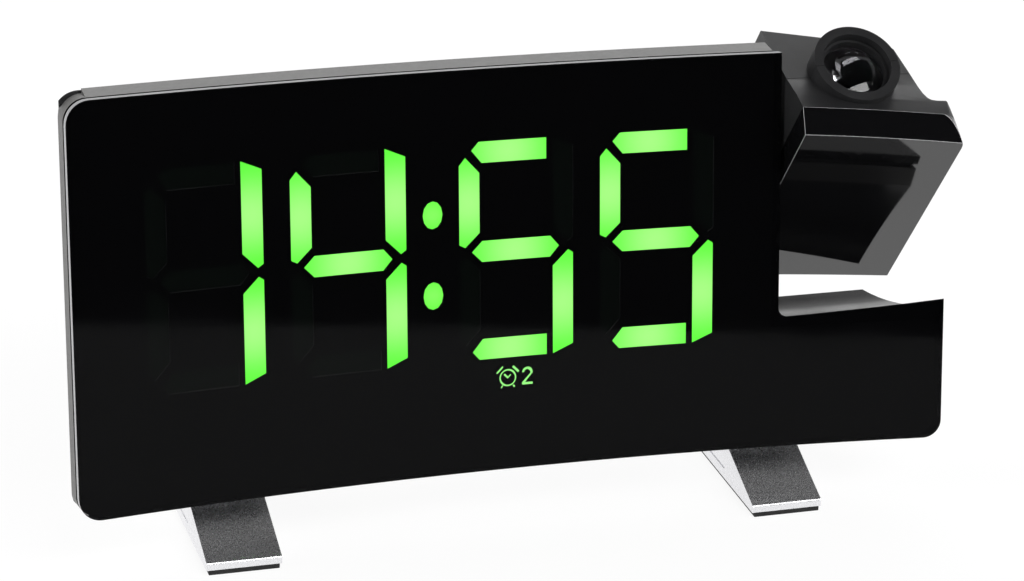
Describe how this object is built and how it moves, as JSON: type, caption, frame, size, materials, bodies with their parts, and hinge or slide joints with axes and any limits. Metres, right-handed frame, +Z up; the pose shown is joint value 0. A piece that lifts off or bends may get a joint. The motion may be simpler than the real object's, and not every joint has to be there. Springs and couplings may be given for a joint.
{
  "type": "projection alarm clock",
  "caption": "Curved digital alarm clock that leans back on two wedge feet, with a swivelling ceiling projector in a notch at its upper right.",
  "frame": {"origin": "on the table, under the middle of the clock's outline", "axes": "+X to the viewer's right along the display, +Y away from the viewer, +Z up"},
  "size_m": [0.1932, 0.063, 0.1043],
  "materials": {
    "smoked_acrylic": "gloss",
    "bezel_plastic": "satin",
    "housing_plastic": "matte",
    "silver_paint": "metallic silver",
    "black_rubber": "matte",
    "black_film": "matte",
    "white_frame": "matte",
    "lit_guide": "satin",
    "dark_guide": "satin",
    "circuit_board": "satin",
    "lamp_resin": "gloss",
    "chip_black": "matte",
    "ribbon": "satin",
    "cell_steel": "satin",
    "button_plastic": "satin",
    "speaker_steel": "satin",
    "speaker_paper": "matte",
    "screw_steel": "satin",
    "bushing_nylon": "satin",
    "wire_red": "satin",
    "gloss_black": "high gloss",
    "shell_plastic": "fine texture",
    "crystal_slide": "clear",
    "lens_glass": "clear"
  },
  "bodies": {
    "clock": {"front_panel": "smoked_acrylic", "front_bezel": "bezel_plastic", "rear_housing": "housing_plastic", "display_mask": "black_film", "display_frame": "white_frame", "lit_segments": "lit_guide", "unlit_segments": "dark_guide", "colon_dots": "lit_guide", "alarm_icon": "lit_guide", "display_board": "circuit_board", "led_chips": "lamp_resin", "main_board": "circuit_board", "board_parts": "chip_black", "ribbon_cable": "ribbon", "coin_cell_holder": "chip_black", "coin_cell": "cell_steel", "button_board": "circuit_board", "tact_switches": "chip_black", "snooze_board": "circuit_board", "power_board": "circuit_board", "dc_jack": "chip_black", "speaker_frame": "speaker_steel", "speaker_cone": "speaker_paper", "housing_screws": "screw_steel", "board_screws": "screw_steel", "left_foot": "silver_paint", "right_foot": "silver_paint", "left_foot_pad": "black_rubber", "right_foot_pad": "black_rubber", "foot_screws": "screw_steel", "hinge_bushing": "bushing_nylon", "projector_wires": "wire_red"},
    "projector": {"projector_cover": "gloss_black", "projector_front_shell": "shell_plastic", "projector_rear_shell": "shell_plastic", "hinge_shaft": "shell_plastic", "spring_washer": "screw_steel", "retaining_clip": "screw_steel", "projector_screws": "screw_steel", "optic_holder": "chip_black", "projection_led": "lamp_resin", "lcd_slide": "crystal_slide", "condenser_lens": "lens_glass"},
    "lens": {"lens_barrel": "shell_plastic", "projection_lens": "lens_glass"},
    "wheel": {"focus_wheel": "button_plastic"},
    "time_key": {"time_button": "button_plastic"},
    "alarm_one_key": {"alarm_one_button": "button_plastic"},
    "alarm_two_key": {"alarm_two_button": "button_plastic"},
    "up_key": {"up_button": "button_plastic"},
    "down_key": {"down_button": "button_plastic"},
    "dimmer_key": {"dimmer_button": "button_plastic"},
    "snooze": {"snooze_bar": "button_plastic"},
    "battery_lid": {"battery_door": "housing_plastic"}
  },
  "joints": [
    {"name": "projector_tilt", "type": "hinge", "parent": "clock", "child": "projector", "pos_m": [0.062, -0.00136, 0.07706], "axis": [1, 0, 0], "range_deg": [-135, 45]},
    {"name": "focus_turn", "type": "hinge", "parent": "projector", "child": "wheel", "pos_m": [0.0694, 0.00414, 0.09115], "axis": [-1, 0, 0], "range_deg": [-25, 25]},
    {"name": "lens_focus", "type": "slide", "parent": "projector", "child": "lens", "axis": [0, -0.5657, 0.8246], "range_m": [-0.0015, 0.0015]},
    {"name": "time_press", "type": "slide", "parent": "clock", "child": "time_key", "axis": [0, -0.9409, 0.3387], "range_m": [0, 0.0008], "stiffness_N_per_m": 400, "springref_m": -0.0005},
    {"name": "alarm_one_press", "type": "slide", "parent": "clock", "child": "alarm_one_key", "axis": [0, -0.9409, 0.3387], "range_m": [0, 0.0008], "stiffness_N_per_m": 400, "springref_m": -0.0005},
    {"name": "alarm_two_press", "type": "slide", "parent": "clock", "child": "alarm_two_key", "axis": [0, -0.9409, 0.3387], "range_m": [0, 0.0008], "stiffness_N_per_m": 400, "springref_m": -0.0005},
    {"name": "up_press", "type": "slide", "parent": "clock", "child": "up_key", "axis": [0, -0.9409, 0.3387], "range_m": [0, 0.0008], "stiffness_N_per_m": 400, "springref_m": -0.0005},
    {"name": "down_press", "type": "slide", "parent": "clock", "child": "down_key", "axis": [0, -0.9409, 0.3387], "range_m": [0, 0.0008], "stiffness_N_per_m": 400, "springref_m": -0.0005},
    {"name": "dimmer_press", "type": "slide", "parent": "clock", "child": "dimmer_key", "axis": [0, -0.9409, 0.3387], "range_m": [0, 0.0008], "stiffness_N_per_m": 400, "springref_m": -0.0005},
    {"name": "snooze_press", "type": "slide", "parent": "clock", "child": "snooze", "axis": [0, -0.4509, -0.8926], "range_m": [0, 0.0011], "stiffness_N_per_m": 500, "springref_m": -0.0006},
    {"name": "battery_lid_swing", "type": "hinge", "parent": "clock", "child": "battery_lid", "pos_m": [-0.016, -0.00708, 0.01994], "axis": [-1, 0, 0], "range_deg": [0, 100]}
  ],
  "couplings": [
    {"joint": "focus_turn", "follows": "lens_focus", "rad_per_m": 222.22}
  ]
}
